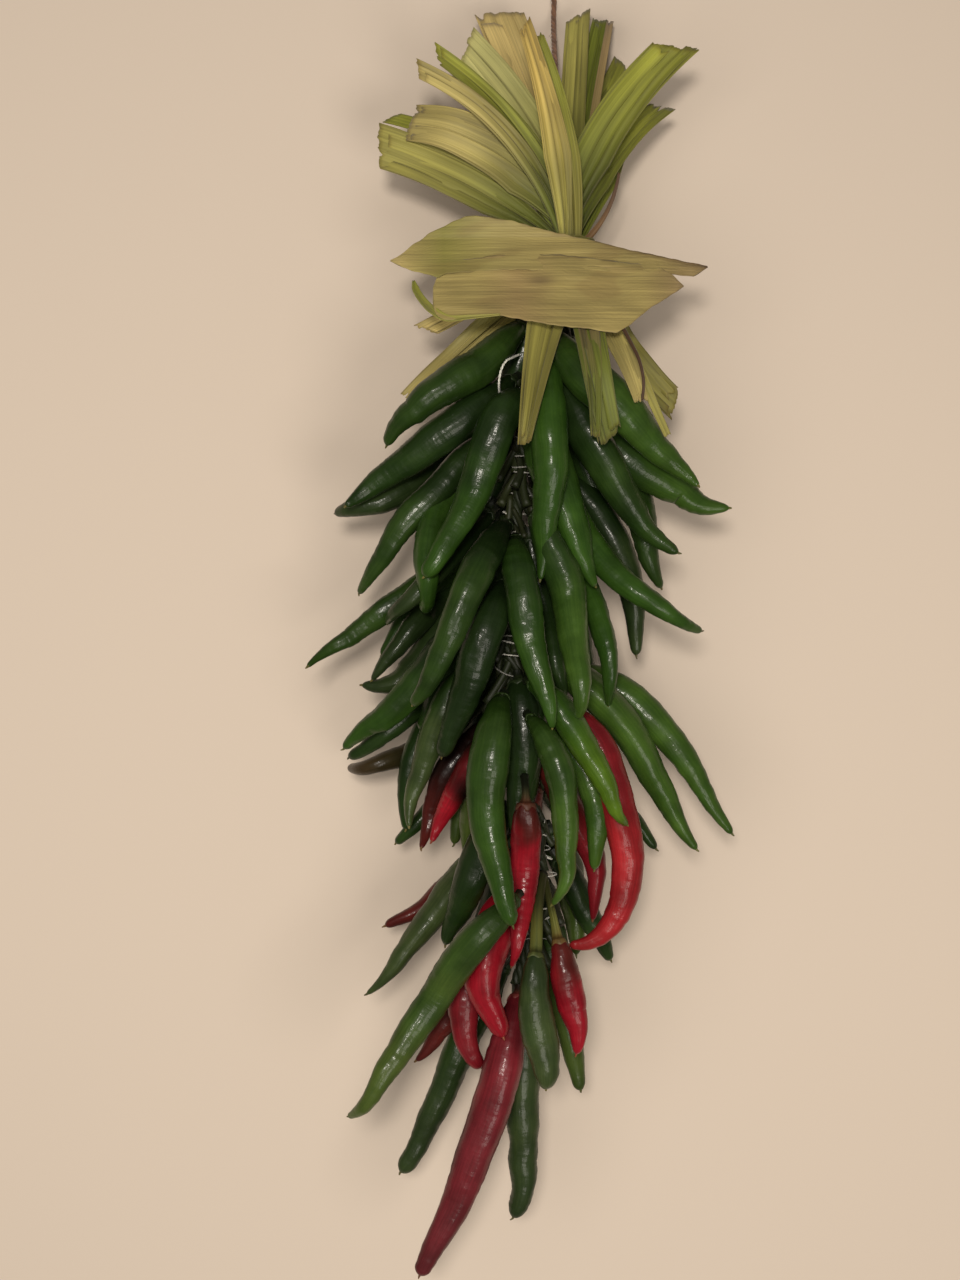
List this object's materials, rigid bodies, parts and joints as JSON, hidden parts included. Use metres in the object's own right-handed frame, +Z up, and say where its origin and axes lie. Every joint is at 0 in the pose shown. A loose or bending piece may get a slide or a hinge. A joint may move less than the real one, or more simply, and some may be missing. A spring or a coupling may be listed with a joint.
{
  "type": "string of fresh chillies with a corn-husk bow",
  "caption": "Green and red chilli peppers knotted by their stems to a string, under a corn-husk bow with a hanging twine.",
  "frame": {"origin": "middle of the string of chillies seen from above, without its twine, at the surface it lies on", "axes": "+Z up, out of the shown side; +Y along the string towards the husk bow and the hanging twine; +X to the right of the shown side"},
  "size_m": [0.156, 0.5347, 0.0977],
  "materials": {
    "chilli_green": "waxy, glossy skin, mid green",
    "chilli_dark": "waxy, glossy skin, dark green",
    "chilli_olive": "waxy skin, dull olive green",
    "chilli_maroon": "waxy skin turning from maroon to dull red",
    "chilli_red": "waxy, glossy skin, bright red",
    "inner_chillies": "waxy skin of the inner chillies, mostly green, on a pale cotton string",
    "husk": "matt, ribbed corn husk, cream to yellow-green",
    "husk_tie": "matt twisted husk",
    "twine": "matt brown jute"
  },
  "bodies": {
    "root": {"chilli_01_green": "chilli_green", "chilli_02_green": "chilli_green", "chilli_03_green": "chilli_green", "chilli_04_green": "chilli_green", "chilli_06_dark": "chilli_dark", "chilli_07_green": "chilli_green", "chilli_08_green": "chilli_green", "chilli_10_green": "chilli_green", "chilli_11_dark": "chilli_dark", "chilli_12_dark": "chilli_dark", "chilli_13_green": "chilli_green", "chilli_14_olive": "chilli_olive", "chilli_15_dark": "chilli_dark", "chilli_21_green": "chilli_green", "chilli_22_green": "chilli_green", "chilli_24_green": "chilli_green", "chilli_26_green": "chilli_green", "chilli_27_green": "chilli_green", "chilli_28_olive": "chilli_olive", "chilli_29_dark": "chilli_dark", "chilli_31_dark": "chilli_dark", "chilli_33_green": "chilli_green", "chilli_37_green": "chilli_green", "chilli_41_dark": "chilli_dark", "chilli_44_green": "chilli_green", "chilli_45_green": "chilli_green", "chilli_46_dark": "chilli_dark", "chilli_47_red": "chilli_red", "chilli_48_green": "chilli_green", "chilli_49_maroon": "chilli_maroon", "chilli_51_maroon": "chilli_maroon", "chilli_53_green": "chilli_green", "chilli_54_red": "chilli_red", "chilli_56_red": "chilli_red", "chilli_62_olive": "chilli_olive", "chilli_64_red": "chilli_red", "chilli_65_green": "chilli_green", "chilli_67_red": "chilli_red", "chilli_68_dark": "chilli_dark", "chilli_69_red": "chilli_red", "chilli_71_maroon": "chilli_maroon", "chilli_72_dark": "chilli_dark", "chilli_73_dark": "chilli_dark", "chilli_74_maroon": "chilli_maroon", "husk_back": "husk", "husk_front": "husk", "husk_front_band": "husk", "husk_left": "husk", "husk_left_high": "husk", "husk_right": "husk", "husk_right_back": "husk", "husk_right_high": "husk", "husk_tail_left": "husk", "husk_tail_middle": "husk", "husk_tail_right": "husk", "string_and_inner_chillies": "inner_chillies", "tie": "husk_tie", "twine": "twine", "twine_knot": "twine", "twine_loop": "twine"}
  },
  "joints": []
}
